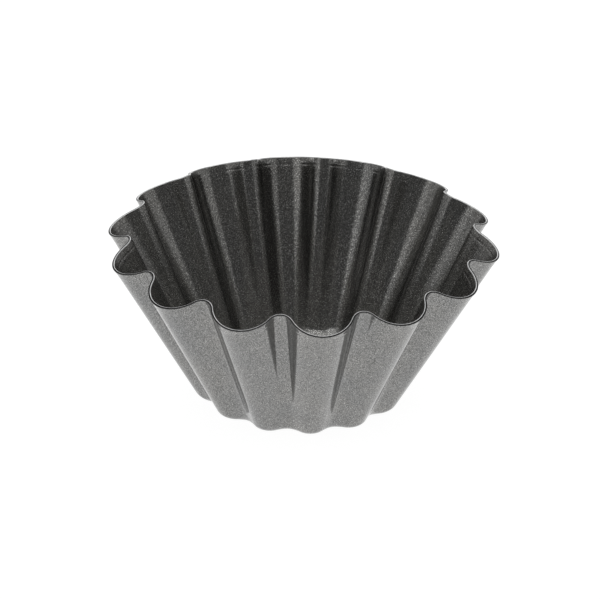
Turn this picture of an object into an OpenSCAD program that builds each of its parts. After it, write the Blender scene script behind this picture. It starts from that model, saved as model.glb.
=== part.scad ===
// Fluted brioche mould: one cup pressed from a round blank of thin coated steel.
// Millimetres. The origin is the middle of the base's underside, +Z points up to
// the rim, and the middle of one flute lies on +X.
//
// The wall is a loft between two fluted outlines, one at the base and one at the
// rim. It is straight from the rounded corner up to a narrow lip, and the sheet
// has the same thickness everywhere, measured square to its surface.

/* [Rim] */
// Outside diameter of the rim, across the flutes
rim_d = 80; // [70:1:110]
// Height of the rim's outer edge at the inward bends
rim_h = 35.2; // [28:0.2:48]
// How much lower the rim lies at the middle of each flute
rim_drop = 2.2; // [0:0.1:4]
// Depth of the flutes at the rim
rim_flute_depth = 4.55; // [3:0.05:6]
// Outside radius of the inward bends at the rim
rim_bend_r = 2.4; // [1.2:0.1:3.2]

/* [Base] */
// Outside diameter of the base across the flutes, before its corner is rounded
base_d = 43.5; // [38:0.5:56]
// Depth of the flutes at the base
base_flute_depth = 1.6; // [1.2:0.05:2.4]
// Outside radius of the inward bends at the base
base_bend_r = 5; // [2:0.1:6]
// Outside radius of the corner between base and wall
corner_r = 3.6; // [2:0.1:5]

/* [Sheet and lip] */
// Thickness of the sheet
sheet = 0.5; // [0.3:0.05:0.8]
// Height of the lip that the press leaves under the cut edge
lip_h = 1.4; // [0.8:0.1:3]
// How far the lip leans out past the line of the wall
lip_flare = 0.15; // [0:0.05:0.6]

/* [Flutes] */
// Number of flutes
flutes = 14; // [10:1:16]
// Facets across each half of a flute's outward arc
arc_facets = 7; // [3:1:9]
// Facets across each half of an inward bend
bend_facets = 3; // [2:1:5]

/* [Hidden] */

corner_steps = 4; // rings across the rounded corner
wall_steps = 3; // rings up the straight wall
step_a = 0.01; // degrees to each side, for the direction along a ring
half_pitch = 180 / flutes;

// A fluted outline is [radius to the flutes, radius to the bends, bend radius].
rim_outline = [rim_d / 2, rim_d / 2 - rim_flute_depth, rim_bend_r];
base_outline = [base_d / 2, base_d / 2 - base_flute_depth, base_bend_r];

// An outward arc lies on the middle of a flute, and an inward bend's arc lies half
// a pitch away. The arcs touch on the line through their centres.
function bend_centre(o) = o[1] + o[2];

function arc_r(o) =
    let (c = bend_centre(o) * cos(half_pitch))
    (o[0] ^ 2 + bend_centre(o) ^ 2 - 2 * o[0] * c - o[2] ^ 2) / (2 * (o[0] + o[2] - c));

function arc_centre(o) = o[0] - arc_r(o);

function touch_turn(o) =
    atan2(bend_centre(o) * sin(half_pitch), bend_centre(o) * cos(half_pitch) - arc_centre(o));

function touch_ray(o) =
    atan2(arc_r(o) * sin(touch_turn(o)), arc_centre(o) + arc_r(o) * cos(touch_turn(o)));

// Distance of an outline from the axis, in direction a.
function outline_r(o, a) =
    let (
        off = abs(a - 2 * half_pitch * round(a / (2 * half_pitch))),
        back = half_pitch - off
    )
    off < touch_ray(o)
        ? arc_centre(o) * cos(off) + sqrt(arc_r(o) ^ 2 - (arc_centre(o) * sin(off)) ^ 2)
        : bend_centre(o) * cos(back) - sqrt(o[2] ^ 2 - (bend_centre(o) * sin(back)) ^ 2);

// Directions in which the outline is sampled: even turns along the arcs of the rim.
arc_rays = [
    for (i = [0 : arc_facets])
        let (turn = touch_turn(rim_outline) * i / arc_facets)
        atan2(
            arc_r(rim_outline) * sin(turn),
            arc_centre(rim_outline) + arc_r(rim_outline) * cos(turn)
        )
];
bend_rays = [
    for (i = [1 : bend_facets])
        let (turn = touch_turn(rim_outline)
            + (half_pitch - touch_turn(rim_outline)) * i / bend_facets)
        atan2(
            bend_centre(rim_outline) * sin(half_pitch) - rim_bend_r * sin(turn),
            bend_centre(rim_outline) * cos(half_pitch) - rim_bend_r * cos(turn)
        )
];
half_rays = concat(arc_rays, bend_rays);
half_count = arc_facets + bend_facets;
flute_rays = [
    for (i = [0 : 2 * half_count - 1])
        i < half_count ? half_rays[i] : 2 * half_pitch - half_rays[2 * half_count - i]
];
rays = [for (k = [0 : flutes - 1]) for (ray = flute_rays) ray + 2 * half_pitch * k];
ray_count = len(rays);

// The rim sinks in step with how far it stands out.
function rim_z(a) =
    rim_h - rim_drop * (outline_r(rim_outline, a) - rim_outline[1]) / rim_flute_depth;

// Lean of the straight wall from upright.
function lean(a) =
    atan2(outline_r(rim_outline, a) - lip_flare - outline_r(base_outline, a), rim_z(a));

// Lean of the lip from upright.
function lip_lean(a) = atan2(lip_h * tan(lean(a)) + lip_flare, lip_h);

// Radius of the wall's own line at height z.
function wall_r(a, z) = outline_r(base_outline, a) + z * tan(lean(a));

// The rings run from the edge of the flat base round the corner, up the wall, to the
// foot of the lip and to the cut edge. Each has a [radius, height, climb] in direction
// a, where climb is the angle of the sheet above level.
lip_ring = corner_steps + wall_steps;
rim_ring = lip_ring + 1;

function corner_point(a, share) =
    let (
        turn = (90 - lean(a)) * share,
        middle = outline_r(base_outline, a) - corner_r * tan((90 - lean(a)) / 2)
    )
    [middle + corner_r * sin(turn), corner_r * (1 - cos(turn)), turn];

function wall_point(a, share) =
    let (
        low = corner_r * (1 - sin(lean(a))),
        z = low + (rim_z(a) - lip_h - low) * share
    )
    [wall_r(a, z), z, 90 - (share < 1 ? lean(a) : (lean(a) + lip_lean(a)) / 2)];

function ring_point(a, ring) =
    ring <= corner_steps ? corner_point(a, ring / corner_steps)
    : ring <= lip_ring ? wall_point(a, (ring - corner_steps) / wall_steps)
    : [outline_r(rim_outline, a), rim_z(a), 90 - lip_lean(a)];

function outside(a, ring) =
    let (p = ring_point(a, ring))
    [p[0] * cos(a), p[0] * sin(a), p[1]];

// The inside is the outside moved in by one sheet thickness, square to the surface.
function outward(a, ring) =
    let (
        climb = ring_point(a, ring)[2],
        along = outside(a + step_a, ring) - outside(a - step_a, ring),
        up = [cos(climb) * cos(a), cos(climb) * sin(a), sin(climb)],
        n = cross(along, up)
    )
    n / norm(n);

function inside(a, ring) = outside(a, ring) - sheet * outward(a, ring);

// Flat part of the base, as a radius that holds at every direction.
base_flat_r = min([for (a = flute_rays) corner_point(a, 0)[0]]) - sheet;

shell_points = concat(
    [for (ring = [0 : rim_ring]) for (a = rays) outside(a, ring)],
    [for (ring = [rim_ring : -1 : 0]) for (a = rays) inside(a, ring)],
    [[0, 0, 0], [0, 0, sheet]]
);

// Rings follow one another from the base's underside over the rim to its upper side.
function corner_of(ring, i) = ring * ray_count + i % ray_count;

band_count = 2 * rim_ring + 1;
under_middle = (band_count + 1) * ray_count;
upper_middle = under_middle + 1;

// Each band's four-sided cells are split the same way to both sides of a bend.
band_faces = [
    for (band = [0 : band_count - 1])
        for (i = [0 : ray_count - 1])
            let (
                a = corner_of(band, i),
                b = corner_of(band + 1, i),
                c = corner_of(band + 1, i + 1),
                d = corner_of(band, i + 1)
            )
            each (i % (2 * half_count) < half_count ? [[a, b, c], [a, c, d]] : [[a, b, d], [b, c, d]])
];
base_faces = [
    for (i = [0 : ray_count - 1])
        each [
            [under_middle, corner_of(0, i), corner_of(0, i + 1)],
            [upper_middle, corner_of(band_count, i + 1), corner_of(band_count, i)]
        ]
];

// The cup. The disc lies wholly in the flat base and gives it one plane on each side.
module mould_shell() {
    color("#868686")
        union() {
            polyhedron(points = shell_points, faces = concat(band_faces, base_faces));
            cylinder(h = sheet, r = base_flat_r, $fn = 96);
        }
}

mould_shell();
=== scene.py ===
# A fluted brioche mould of thin coated steel, standing on a white sweep.
import math

import bpy
import numpy as np
from mathutils import Matrix, Vector


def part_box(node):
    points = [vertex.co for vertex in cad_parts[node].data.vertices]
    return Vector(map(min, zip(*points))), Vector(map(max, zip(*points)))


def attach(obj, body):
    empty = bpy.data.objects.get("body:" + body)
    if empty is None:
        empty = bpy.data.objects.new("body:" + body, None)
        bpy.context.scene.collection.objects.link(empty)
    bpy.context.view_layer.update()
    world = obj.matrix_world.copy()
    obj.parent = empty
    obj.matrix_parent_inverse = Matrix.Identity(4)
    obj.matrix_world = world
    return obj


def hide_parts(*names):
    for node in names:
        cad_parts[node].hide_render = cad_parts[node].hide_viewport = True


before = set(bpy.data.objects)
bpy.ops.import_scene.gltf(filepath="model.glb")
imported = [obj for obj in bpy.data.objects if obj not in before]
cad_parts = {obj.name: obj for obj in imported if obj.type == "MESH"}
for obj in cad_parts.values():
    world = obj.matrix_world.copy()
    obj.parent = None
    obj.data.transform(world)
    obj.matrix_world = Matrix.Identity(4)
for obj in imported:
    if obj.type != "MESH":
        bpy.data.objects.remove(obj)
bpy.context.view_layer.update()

MM = 0.001

# The mould's driving sizes, in metres. The rim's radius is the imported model's own.
FLUTES = 14
RIM_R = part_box("mould_shell")[1].x
RIM_H = 35.2 * MM  # outer edge of the rim at the inward bends
RIM_DROP = 2.2 * MM  # how much lower the rim lies on the flutes
RIM_DEPTH = 4.55 * MM  # depth of the flutes at the rim
RIM_BEND_R = 2.4 * MM  # outside radius of the inward bends at the rim
BASE_R = 21.75 * MM  # base to the flutes, before its corner is rounded
BASE_DEPTH = 1.6 * MM
BASE_BEND_R = 5.0 * MM
CORNER_R = 3.6 * MM  # outside radius between base and wall
SHEET = 0.5 * MM
LIP_H = 1.4 * MM  # lip under the cut edge
LIP_FLARE = 0.15 * MM  # how far the lip leans out past the line of the wall
EDGE_OUT_R = 0.04 * MM  # rounding of the cut edge on the outside
EDGE_IN_R = 0.15 * MM  # rounding of the cut edge on the inside
RIDGE_H = 0.042 * MM  # pressed line at the foot of the lip
RIDGE_W = 0.16 * MM

# Fineness of the mesh. Shares run from 0 to 1 along a part of the wall.
ARC_STEPS = 14  # across half a flute's outward arc
BEND_STEPS = 8  # across half an inward bend
EDGE_STEPS = 4
BASE_SHARES = (0.2, 0.4, 0.6, 0.8, 0.93)
CORNER_STEPS = 10
WALL_STEPS = 16
RIDGE_GAP = 0.15 * MM  # between the close rings under the pressed line
RIDGE_GAPS = (6, 4, 3, 2, 1, 0)
LIP_SHARES = (0.08, 0.16, 0.24, 0.34, 0.5, 0.66, 0.8)
TURN_STEP = 1e-4  # radians to each side, for the direction along a ring

# The coat. Noise scales are per metre, and limits are the stretch of a noise that is used.
FLAKE_SCALE = 8500
FLAKE_DARK = (0.065, 0.065, 0.064)
FLAKE_LIGHT = (0.375, 0.373, 0.369)
# Painted glints: spots of a noise that brighten the flake colour, past white on the inside coat.
SPARKLE_SCALE = 7500
SPARKLE_LIMITS = (0.62, 0.72)
DRIFT_SCALE = 90
DRIFT_COOL = (0.94, 0.95, 0.96)
DRIFT_WARM = (1.05, 1.04, 1.02)
MIDDLE_LIMITS = (0.3, 0.7)
GRAIN_SCALE = 5200
GRAIN_SPREAD = 0.03  # how far the grain moves the roughness
WAVE_SCALE = 170
WAVE_H = 0.08 * MM
COAT_BUMP = 0.5
# Name, roughness, gain of the painted glints on the bright flakes, tint and height of the grain.
OUTER_COAT = ("coat_outside", 0.075, 1.9, (0.96, 0.96, 0.955), 0.006 * MM)
INNER_COAT = ("coat_inside", 0.2, 3.3, (0.93, 0.925, 0.905), 0.008 * MM)

# The cut edge: its sheared face is painted near-black as painted shade, and its inner rounding is
# painted light grey as a painted highlight.
SCRATCH_SCALE = 1800
SCRATCH_SPREAD = 0.06  # how far the scratches move the roughness
SCRATCH_H = 0.01 * MM
EDGE_BUMP = 0.3
# Name, darkest and lightest grey, and roughness.
# The face's near-black grey is painted shade.
CUT_FACE_PAINTED_SHADE = ("cut_face_painted_shade", 0.015, 0.04, 0.32)
# The inner rounding's light grey is a painted highlight.
EDGE_PAINTED_HIGHLIGHT = ("edge_painted_highlight", 0.5, 0.8, 0.16)

# The studio. The floor and the world are white where they are seen or mirrored.
WHITE = (1, 1, 1, 1)
WORLD_FILL = 0.85  # what the world gives to matt surfaces
FLOOR_SIZE = 6.0
FLOOR_MATT = 0.2
FLOOR_LIFT = 0.95  # light that the floor adds where it is seen or mirrored
PANEL_R = 0.9
PANEL_STEPS = 12
# Name, first and last azimuth from the front, lowest and highest elevation, brightness.
PANELS = (
    ("panel_dark", -30, 60, 0.5, 48, 0.15),
    ("panel_left_low", -150, -30, 0.5, 14, 0.33),
    ("panel_left", -150, -60, 14, 60, 0.42),
    ("panel_key", -60, -30, 14, 60, 0.62),
    ("panel_right_low", 60, 150, 0.5, 14, 0.31),
    ("panel_right", 60, 150, 14, 60, 0.44),
    ("panel_above", -90, 90, 62, 89, 0.95),
)

# Where the photograph was taken from: distances from the mould's axis, and angles
# in degrees. The picture is taken to be 600 pixels wide.
CAMERA_BACK = 0.5653
CAMERA_HEIGHT = 0.3256
CAMERA_TURN = 6.40
CAMERA_PITCH = 28.41
CAMERA_YAW = -0.04
CAMERA_ROLL = 1.0
CAMERA_REACH = 20
PICTURE_PIXELS = 600
FOCAL_PIXELS = 3131
SENSOR_WIDTH = 36.0

# A fluted outline is (radius to the flutes, radius to the bends, bend radius).
HALF_PITCH = math.pi / FLUTES
RIM = (RIM_R, RIM_R - RIM_DEPTH, RIM_BEND_R)
BASE = (BASE_R, BASE_R - BASE_DEPTH, BASE_BEND_R)


def arcs(outline):
    """The bend's centre, and the flute arc's radius, centre, last turn and last ray."""
    tip, bend, bend_r = outline
    bend_centre = bend + bend_r
    level = bend_centre * math.cos(HALF_PITCH)
    arc_r = (tip**2 + bend_centre**2 - 2 * tip * level - bend_r**2) / (2 * (tip + bend_r - level))
    arc_centre = tip - arc_r
    turn = math.atan2(bend_centre * math.sin(HALF_PITCH), level - arc_centre)
    ray = math.atan2(arc_r * math.sin(turn), arc_centre + arc_r * math.cos(turn))
    return bend_centre, arc_r, arc_centre, turn, ray


def outline_r(outline, a):
    """Distance of a fluted outline from the axis in the directions a."""
    bend_centre, arc_r, arc_centre, _, ray = arcs(outline)
    off = np.abs(a - 2 * HALF_PITCH * np.round(a / (2 * HALF_PITCH)))
    back = HALF_PITCH - off
    flute = arc_centre * np.cos(off) + np.sqrt(np.maximum(arc_r**2 - (arc_centre * np.sin(off)) ** 2, 0))
    bend = bend_centre * np.cos(back)
    bend = bend - np.sqrt(np.maximum(outline[2] ** 2 - (bend_centre * np.sin(back)) ** 2, 0))
    return np.where(off < ray, flute, bend)


def ring_directions():
    """Directions at even turns along the arcs of the rim, all the way round."""
    bend_centre, arc_r, arc_centre, turn, _ = arcs(RIM)
    t = np.linspace(0, turn, ARC_STEPS + 1)
    flute = np.arctan2(arc_r * np.sin(t), arc_centre + arc_r * np.cos(t))
    t = np.linspace(turn, HALF_PITCH, BEND_STEPS + 1)[1:]
    bend = np.arctan2(
        bend_centre * math.sin(HALF_PITCH) - RIM_BEND_R * np.sin(t),
        bend_centre * math.cos(HALF_PITCH) - RIM_BEND_R * np.cos(t),
    )
    half = np.concatenate([flute, bend])
    one = np.concatenate([half, (2 * HALF_PITCH - half[::-1])[1:-1]])
    return (one[None] + 2 * HALF_PITCH * np.arange(FLUTES)[:, None]).ravel()


def meridian(a, part, share):
    """Radius, height and climb of the outer skin in the directions a."""
    top = outline_r(RIM, a)
    foot = outline_r(BASE, a)
    top_z = RIM_H - RIM_DROP * (top - RIM[1]) / RIM_DEPTH
    lean = np.arctan2(top - LIP_FLARE - foot, top_z)
    lip_lean = np.arctan2(LIP_H * np.tan(lean) + LIP_FLARE, LIP_H)
    middle = foot - CORNER_R * np.tan((math.pi / 2 - lean) / 2)
    low = CORNER_R * (1 - np.sin(lean))
    lip_z = top_z - LIP_H
    if part == "base":
        return middle * share, 0 * a, 0 * a
    if part == "corner":
        turn = (math.pi / 2 - lean) * share
        return middle + CORNER_R * np.sin(turn), CORNER_R * (1 - np.cos(turn)), turn
    if part == "wall":
        z = low + (lip_z - low) * share
        return foot + z * np.tan(lean), z, math.pi / 2 - lean
    r = foot + lip_z * np.tan(lean) + LIP_H * share * np.tan(lip_lean)
    return r, lip_z + LIP_H * share, math.pi / 2 - lip_lean


def on_ray(a, r, z):
    """Points at a radius and a height in the directions a."""
    return np.stack([r * np.cos(a), r * np.sin(a), z], -1)


def skin(a, part, share, depth):
    """Points of the sheet at a depth below its outer skin, measured square to it."""
    r, z, climb = meridian(a, part, share)
    ahead = on_ray(a + TURN_STEP, *meridian(a + TURN_STEP, part, share)[:2])
    behind = on_ray(a - TURN_STEP, *meridian(a - TURN_STEP, part, share)[:2])
    up = on_ray(a, np.cos(climb), np.sin(climb))
    normal = np.cross(ahead - behind, up)
    normal /= np.linalg.norm(normal, axis=-1, keepdims=True)
    return on_ray(a, r, z) - depth * normal


def ridge(part, share):
    """Height of the pressed line, which follows the foot of the lip."""
    if part not in ("wall", "lip"):
        return 0.0
    away = (1 - share) * (RIM_H - LIP_H) if part == "wall" else share * LIP_H
    return RIDGE_H * math.exp(-((away / RIDGE_W) ** 2))


def round_over(radius):
    """Shares of the lip and depths that turn from one skin into the cut face."""
    turns = np.linspace(0, math.pi / 2, EDGE_STEPS + 1)
    return [(1 - radius / LIP_H * (1 - math.sin(t)), radius * (1 - math.cos(t))) for t in turns]


def ring_list():
    """The rings from the underside round the cut edge to the floor of the cup."""
    gap = RIDGE_GAP / (RIM_H - LIP_H)
    shares = [("base", s) for s in BASE_SHARES]
    shares += [("corner", s) for s in np.linspace(0, 1, CORNER_STEPS + 1)]
    shares += [("wall", s) for s in np.linspace(0, 1, WALL_STEPS + 1)[1:-1]]
    shares += [("wall", 1 - k * gap) for k in RIDGE_GAPS]
    shares += [("lip", s) for s in LIP_SHARES]
    outer = [(part, s, -ridge(part, s)) for part, s in shares]
    edge = [("lip", s, d) for s, d in round_over(EDGE_OUT_R)]
    edge += [("lip", s, SHEET - d) for s, d in reversed(round_over(EDGE_IN_R))]
    inner = [(part, s, SHEET - ridge(part, s)) for part, s in reversed(shares)]
    return outer, edge, inner


def add_mesh(name, points, faces, materials):
    """A new object of a mesh, in the scene."""
    mesh = bpy.data.meshes.new(name)
    mesh.from_pydata(points, [], faces)
    for material in materials:
        mesh.materials.append(material)
    thing = bpy.data.objects.new(name, mesh)
    bpy.context.scene.collection.objects.link(thing)
    return thing


def build_cup(materials):
    """The pressed cup as one closed mesh: outer coat, inner coat, cut face with painted shade and inner
    edge rounding with a painted highlight.
    """
    outside, inside, face, painted_highlight_band = range(4)
    a = ring_directions()
    count = len(a)
    outer, edge, inner = ring_list()
    rings = outer + edge + inner
    # The cut face band carries painted shade; the inner rounding bands carry a painted highlight.
    bands = [outside] * (len(outer) + EDGE_STEPS) + [face] + [painted_highlight_band] * EDGE_STEPS + [inside] * len(inner)
    points = np.concatenate([skin(a, *ring) for ring in rings])
    points = np.concatenate([points, [[0, 0, 0], [0, 0, SHEET]]])
    here = np.arange(count)
    there = (here + 1) % count
    faces = []
    slots = []
    for k, slot in enumerate(bands):
        low, high = k * count, (k + 1) * count
        faces += np.stack([low + here, low + there, high + there, high + here], -1).tolist()
        slots += [slot] * count
    under = len(rings) * count
    last = (len(rings) - 1) * count
    faces += [[under, int(j), int(i)] for i, j in zip(here, there)]
    faces += [[under + 1, int(last + i), int(last + j)] for i, j in zip(here, there)]
    slots += [outside] * count + [inside] * count
    cup = add_mesh("mould_cup", points.tolist(), faces, materials)
    cup.data.polygons.foreach_set("material_index", slots)
    cup.data.polygons.foreach_set("use_smooth", [True] * len(faces))
    cup.data.update()
    return cup


class Nodes:
    """A short way to add and join the nodes of a material or a world."""

    def __init__(self, owner):
        owner.use_nodes = True
        self.tree = owner.node_tree
        self.tree.nodes.clear()

    def add(self, kind, **values):
        """A new node with some of its inputs or settings set."""
        node = self.tree.nodes.new(kind)
        for key, value in values.items():
            if key in node.inputs:
                node.inputs[key].default_value = value
            else:
                setattr(node, key, value)
        return node

    def link(self, socket, node, place):
        """Feeds an input of a node, by its name or number, from an output socket."""
        self.tree.links.new(socket, node.inputs[place])

    def noise(self, scale, detail, roughness):
        where = self.add("ShaderNodeTexCoord")
        noise = self.add("ShaderNodeTexNoise", Scale=scale, Detail=detail, Roughness=roughness)
        self.link(where.outputs["Object"], noise, "Vector")
        return noise.outputs["Fac"]

    def ramp(self, source, limits, dark, light):
        """Maps the source between two limits to the colours from dark to light."""
        ramp = self.add("ShaderNodeValToRGB")
        for element, position, colour in zip(ramp.color_ramp.elements, limits, (dark, light)):
            element.position = position
            element.color = (*colour, 1)
        self.link(source, ramp, "Fac")
        return ramp.outputs["Color"]

    def multiply(self, first, second):
        """The product of two colours."""
        mix = self.add("ShaderNodeMix", data_type="RGBA", blend_type="MULTIPLY", Factor=1.0)
        self.link(first, mix, 6)
        self.link(second, mix, 7)
        return mix.outputs[2]

    def around(self, source, middle, spread):
        """Maps the source to values up to a spread below and above the middle."""
        node = self.add("ShaderNodeMapRange")
        node.inputs["To Min"].default_value = middle - spread
        node.inputs["To Max"].default_value = middle + spread
        self.link(source, node, "Value")
        return node.outputs["Result"]

    def bump(self, source, strength, height, under=None):
        """A normal that follows the source, on top of another normal where there is one."""
        node = self.add("ShaderNodeBump", Strength=strength, Distance=height)
        self.link(source, node, "Height")
        if under is not None:
            self.link(under, node, "Normal")
        return node.outputs["Normal"]

    def blend(self, factor, first, second):
        """A mix of two shaders."""
        mix = self.add("ShaderNodeMixShader")
        self.link(factor, mix, 0)
        self.link(first.outputs[0], mix, 1)
        self.link(second.outputs[0], mix, 2)
        return mix

    def metal(self, colour, roughness, normal):
        """A metal with its colour, roughness and normal fed from other nodes."""
        shader = self.add("ShaderNodeBsdfPrincipled", Metallic=1.0)
        self.link(colour, shader, "Base Color")
        self.link(roughness, shader, "Roughness")
        self.link(normal, shader, "Normal")
        return shader

    def finish(self, shader, kind="ShaderNodeOutputMaterial"):
        self.link(shader.outputs[0], self.add(kind), "Surface")

    def seen(self):
        """1 for the rays that see the background: camera, glossy and transmission rays."""
        path = self.add("ShaderNodeLightPath")
        two = self.add("ShaderNodeMath", operation="MAXIMUM")
        self.link(path.outputs["Is Camera Ray"], two, 0)
        self.link(path.outputs["Is Glossy Ray"], two, 1)
        three = self.add("ShaderNodeMath", operation="MAXIMUM")
        self.link(two.outputs[0], three, 0)
        self.link(path.outputs["Is Transmission Ray"], three, 1)
        return three.outputs[0]


def coat_material(name, roughness, painted_glint_gain, tint, grain_h):
    """Satin coating with metal flakes: random flake tone, with fine sparkle painted into the colour as
    painted glints, slow tone drift and soft unevenness.
    """
    material = bpy.data.materials.new(name)
    n = Nodes(material)
    flakes = n.ramp(n.noise(FLAKE_SCALE, 0.0, 0.5), MIDDLE_LIMITS, FLAKE_DARK, FLAKE_LIGHT)
    # Painted glints: bright spots multiplied into the colour stand in for flakes catching the light.
    painted_glints = n.ramp(n.noise(SPARKLE_SCALE, 0.0, 0.5), SPARKLE_LIMITS, (1, 1, 1), (painted_glint_gain, painted_glint_gain, painted_glint_gain))
    cool, warm = ([c * t for c, t in zip(colour, tint)] for colour in (DRIFT_COOL, DRIFT_WARM))
    drift = n.ramp(n.noise(DRIFT_SCALE, 3.0, 0.55), MIDDLE_LIMITS, cool, warm)
    grain = n.noise(GRAIN_SCALE, 1.0, 0.6)
    fine = n.bump(grain, COAT_BUMP, grain_h)
    uneven = n.bump(n.noise(WAVE_SCALE, 1.0, 0.4), COAT_BUMP, WAVE_H, fine)
    colour = n.multiply(n.multiply(flakes, painted_glints), drift)
    n.finish(n.metal(colour, n.around(grain, roughness, GRAIN_SPREAD), uneven))
    return material


def edge_material(name, dark, light, roughness):
    """Metal of the cut edge with fine scratches from the trim; its greys carry painted shade on the face
    and a painted highlight on the inner rounding.
    """
    material = bpy.data.materials.new(name)
    n = Nodes(material)
    scratches = n.noise(SCRATCH_SCALE, 3.0, 0.7)
    tone = n.ramp(scratches, MIDDLE_LIMITS, (dark, dark, dark), (light, light, light))
    normal = n.bump(scratches, EDGE_BUMP, SCRATCH_H)
    n.finish(n.metal(tone, n.around(scratches, roughness, SCRATCH_SPREAD), normal))
    return material


def make_world():
    """White all round where it is seen or mirrored, a little lower as a light."""
    world = bpy.data.worlds.new("studio")
    bpy.context.scene.world = world
    n = Nodes(world)
    fill = n.add("ShaderNodeBackground", Color=WHITE, Strength=WORLD_FILL)
    white = n.add("ShaderNodeBackground", Color=WHITE, Strength=1.0)
    n.finish(n.blend(n.seen(), fill, white), "ShaderNodeOutputWorld")


def make_floor():
    """A white floor that keeps the mould's shadow."""
    material = bpy.data.materials.new("floor_white")
    n = Nodes(material)
    none = n.add("ShaderNodeEmission", Strength=0.0)
    glow = n.add("ShaderNodeEmission", Color=WHITE, Strength=FLOOR_LIFT)
    matt = n.add("ShaderNodeBsdfDiffuse", Color=(FLOOR_MATT, FLOOR_MATT, FLOOR_MATT, 1))
    both = n.add("ShaderNodeAddShader")
    n.link(matt.outputs[0], both, 0)
    n.link(n.blend(n.seen(), none, glow).outputs[0], both, 1)
    n.finish(both)
    half = FLOOR_SIZE / 2
    corners = [(-half, -half, 0), (half, -half, 0), (half, half, 0), (-half, half, 0)]
    floor = add_mesh("floor", corners, [[0, 1, 2, 3]], [material])


def make_panel(name, first, last, low, high, grey):
    """A curved studio panel, from one azimuth to another, that only the mould mirrors."""
    material = bpy.data.materials.new(name)
    n = Nodes(material)
    n.finish(n.add("ShaderNodeEmission", Color=(grey, grey, grey, 1), Strength=1.0))
    turns = [math.radians(first + (last - first) * k / PANEL_STEPS) for k in range(PANEL_STEPS + 1)]
    points = []
    for elevation in (low, high):
        level = PANEL_R * math.cos(math.radians(elevation))
        z = PANEL_R * math.sin(math.radians(elevation))
        points += [(level * math.sin(t), -level * math.cos(t), z) for t in turns]
    wide = PANEL_STEPS + 1
    faces = [[k, k + 1, k + 1 + wide, k + wide] for k in range(PANEL_STEPS)]
    panel = add_mesh(name, points, faces, [material])
    panel.visible_camera = False
    panel.visible_shadow = False


def make_camera():
    """The photograph's viewpoint."""
    pitch, yaw, roll = (math.radians(v) for v in (CAMERA_PITCH, CAMERA_YAW, CAMERA_ROLL))
    turn = Matrix.Rotation(math.radians(CAMERA_TURN), 3, "Z")
    ahead = Vector((math.sin(yaw) * math.cos(pitch), math.cos(yaw) * math.cos(pitch), -math.sin(pitch)))
    right = ahead.cross(Vector((0, 0, 1))).normalized()
    up = right.cross(ahead)
    rolled_right = right * math.cos(roll) + up * math.sin(roll)
    rolled_up = up * math.cos(roll) - right * math.sin(roll)
    axes = Matrix((turn @ rolled_right, turn @ rolled_up, -(turn @ ahead))).transposed()
    data = bpy.data.cameras.new("camera")
    data.sensor_width = SENSOR_WIDTH
    data.lens = FOCAL_PIXELS / PICTURE_PIXELS * SENSOR_WIDTH
    data.clip_end = CAMERA_REACH
    camera = bpy.data.objects.new("camera", data)
    bpy.context.scene.collection.objects.link(camera)
    place = turn @ Vector((0, -CAMERA_BACK, CAMERA_HEIGHT))
    camera.matrix_world = Matrix.Translation(place) @ axes.to_4x4()
    bpy.context.scene.camera = camera


make_camera()
coats = [coat_material(*OUTER_COAT), coat_material(*INNER_COAT)]
# The edge pieces: painted shade on the cut face, a painted highlight on the inner rounding.
edges = [edge_material(*CUT_FACE_PAINTED_SHADE), edge_material(*EDGE_PAINTED_HIGHLIGHT)]
cup = build_cup(coats + edges)
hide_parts("mould_shell")
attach(cup, "root")
make_floor()
make_world()
for panel in PANELS:
    make_panel(*panel)

bpy.context.scene.view_settings.view_transform = "Standard"
